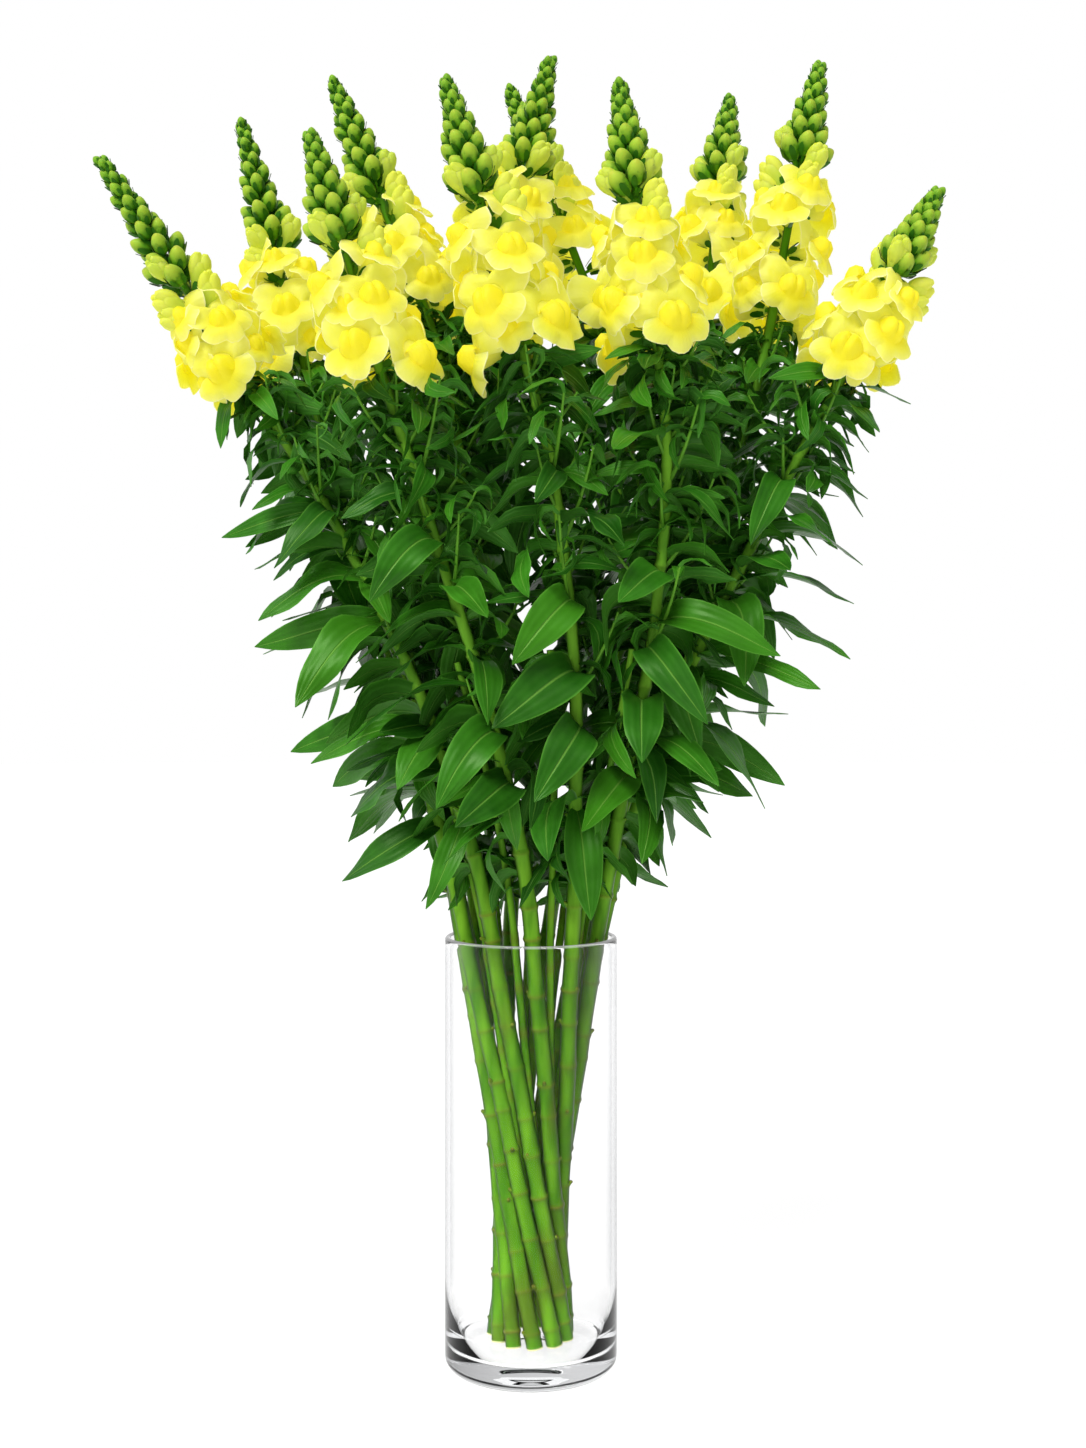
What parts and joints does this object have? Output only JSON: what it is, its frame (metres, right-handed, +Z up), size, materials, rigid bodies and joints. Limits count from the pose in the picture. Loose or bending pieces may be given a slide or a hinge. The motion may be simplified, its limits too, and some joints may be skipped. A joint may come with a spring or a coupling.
{
  "type": "bunch of cut snapdragon stems in a glass vase",
  "caption": "Tall bunch of yellow snapdragon spikes with arching leaves, standing crossed in a clear straight glass cylinder vase.",
  "frame": {"origin": "centre of the vase's flat underside", "axes": "+Z up along the vase, +X to the viewer's right across the wide side of the bunch, +Y away from the viewer"},
  "size_m": [0.4676, 0.2732, 0.778],
  "materials": {
    "vase_glass": "clear polished soda-lime glass",
    "leaf_green": "living green stem and leaf, satin",
    "petal_yellow": "soft pale yellow petal, matte"
  },
  "bodies": {
    "root": {"glass_vase": "vase_glass", "leafy_stem_01": "leaf_green", "leafy_stem_02": "leaf_green", "leafy_stem_03": "leaf_green", "leafy_stem_04": "leaf_green", "leafy_stem_05": "leaf_green", "leafy_stem_06": "leaf_green", "leafy_stem_07": "leaf_green", "leafy_stem_08": "leaf_green", "leafy_stem_09": "leaf_green", "leafy_stem_10": "leaf_green", "leafy_stem_11": "leaf_green", "open_flowers_01": "petal_yellow", "open_flowers_02": "petal_yellow", "open_flowers_03": "petal_yellow", "open_flowers_04": "petal_yellow", "open_flowers_05": "petal_yellow", "open_flowers_06": "petal_yellow", "open_flowers_07": "petal_yellow", "open_flowers_08": "petal_yellow", "open_flowers_09": "petal_yellow", "open_flowers_10": "petal_yellow", "open_flowers_11": "petal_yellow"}
  },
  "joints": []
}
